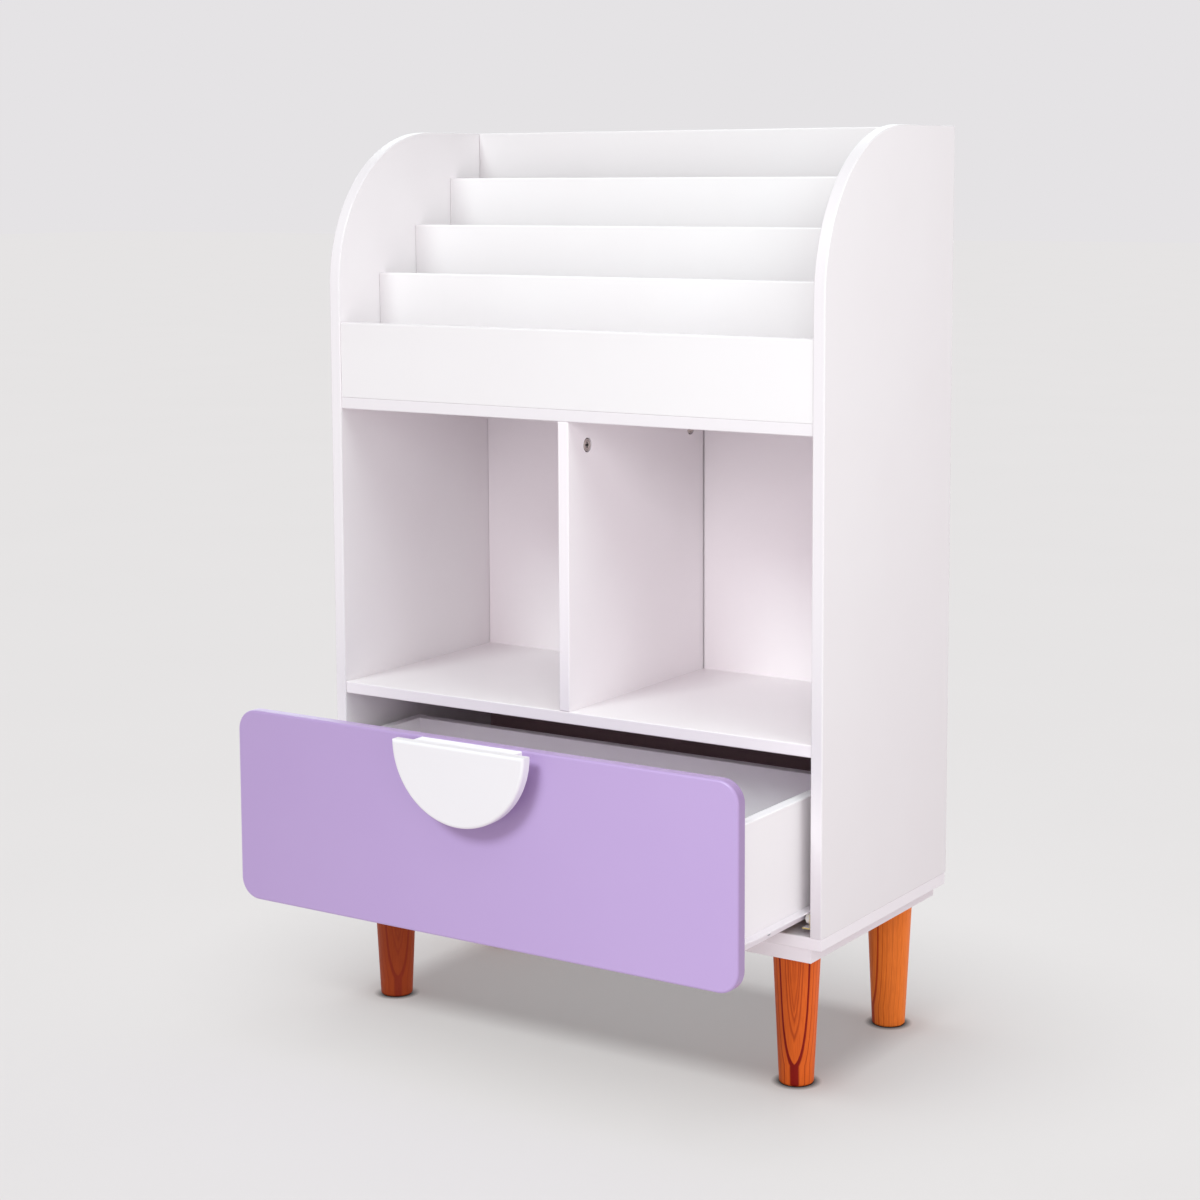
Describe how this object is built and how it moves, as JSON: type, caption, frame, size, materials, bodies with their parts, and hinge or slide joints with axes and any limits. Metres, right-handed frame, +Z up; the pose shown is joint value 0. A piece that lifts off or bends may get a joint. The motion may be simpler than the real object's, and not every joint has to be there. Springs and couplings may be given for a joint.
{
  "type": "children's bookshelf",
  "caption": "Low children's bookshelf on turned legs: stepped front-facing book pockets above open compartments, with a lilac drawer on roller slides and a half-disc handle.",
  "frame": {"origin": "on the floor, at the middle of the whole object's box with the drawer open as in the picture", "axes": "+Z up, +X to the right as seen from the front, +Y to the rear; the drawer opens towards -Y"},
  "size_m": [0.6, 0.4668, 0.9501],
  "materials": {
    "white_board": "white melamine-faced board, satin",
    "lilac_board": "lilac lacquered fibreboard, satin",
    "stained_pine": "turned pine, orange-brown stain, satin lacquer",
    "hardboard": "white painted hardboard",
    "beech": "bare fluted beech",
    "white_steel": "white epoxy-coated steel",
    "zinc_steel": "zinc-plated steel",
    "brass": "turned brass",
    "nylon": "white nylon"
  },
  "bodies": {
    "carcass": {"side_panel_left": "white_board", "side_panel_right": "white_board", "bottom_board": "white_board", "base_board": "white_board", "drawer_bay_shelf": "white_board", "pocket_shelf": "white_board", "compartment_divider": "white_board", "pocket_front_lip": "white_board", "pocket_divider_front": "white_board", "pocket_divider_middle": "white_board", "pocket_divider_rear": "white_board", "upper_back_board": "white_board", "lower_back_board": "white_board", "leg_front_left": "stained_pine", "leg_front_right": "stained_pine", "leg_back_left": "stained_pine", "leg_back_right": "stained_pine", "leg_hanger_bolts": "zinc_steel", "leg_threaded_inserts": "brass", "base_board_screws": "zinc_steel", "side_panel_screws": "zinc_steel", "back_board_screws": "zinc_steel", "divider_cam_locks": "zinc_steel", "divider_cam_bolts": "zinc_steel", "shelf_cam_locks": "zinc_steel", "shelf_cam_bolts": "zinc_steel", "divider_dowels": "beech", "pocket_dowels": "beech", "cabinet_rail_screws": "zinc_steel", "front_roller_rivets": "zinc_steel", "cabinet_rail_left": "white_steel", "cabinet_rail_right": "white_steel"},
    "drawer": {"drawer_front": "lilac_board", "drawer_side_left": "white_board", "drawer_side_right": "white_board", "drawer_back": "white_board", "drawer_bottom": "hardboard", "handle_plate": "white_board", "handle_spacer": "white_board", "drawer_rail_left": "white_steel", "drawer_rail_right": "white_steel", "handle_screws": "zinc_steel", "drawer_rail_screws": "zinc_steel", "rear_roller_rivets": "zinc_steel", "drawer_cam_locks": "zinc_steel", "drawer_cam_bolts": "zinc_steel", "drawer_back_screws": "zinc_steel"},
    "front_roller_left": {"front_roller_left": "nylon"},
    "front_roller_right": {"front_roller_right": "nylon"},
    "rear_roller_left": {"rear_roller_left": "nylon"},
    "rear_roller_right": {"rear_roller_right": "nylon"}
  },
  "joints": [
    {"name": "drawer_slide", "type": "slide", "parent": "carcass", "child": "drawer", "axis": [0, -1, 0], "range_m": [-0.147, 0.042]},
    {"name": "front_roller_left_spin", "type": "hinge", "parent": "carcass", "child": "front_roller_left", "pos_m": [-0.2829, -0.03755, 0.1808], "axis": [1, 0, 0], "range_deg": [-1410, 405]},
    {"name": "front_roller_right_spin", "type": "hinge", "parent": "carcass", "child": "front_roller_right", "pos_m": [0.2829, -0.03755, 0.1808], "axis": [1, 0, 0], "range_deg": [-1410, 405]},
    {"name": "rear_roller_left_spin", "type": "hinge", "parent": "drawer", "child": "rear_roller_left", "pos_m": [-0.2807, 0.04845, 0.1786], "axis": [1, 0, 0], "range_deg": [-1410, 405]},
    {"name": "rear_roller_right_spin", "type": "hinge", "parent": "drawer", "child": "rear_roller_right", "pos_m": [0.2807, 0.04845, 0.1786], "axis": [1, 0, 0], "range_deg": [-1410, 405]}
  ],
  "couplings": [
    {"joint": "front_roller_left_spin", "follows": "drawer_slide", "rad_per_m": 166.67},
    {"joint": "front_roller_right_spin", "follows": "drawer_slide", "rad_per_m": 166.67},
    {"joint": "rear_roller_left_spin", "follows": "drawer_slide", "rad_per_m": 166.67},
    {"joint": "rear_roller_right_spin", "follows": "drawer_slide", "rad_per_m": 166.67}
  ]
}
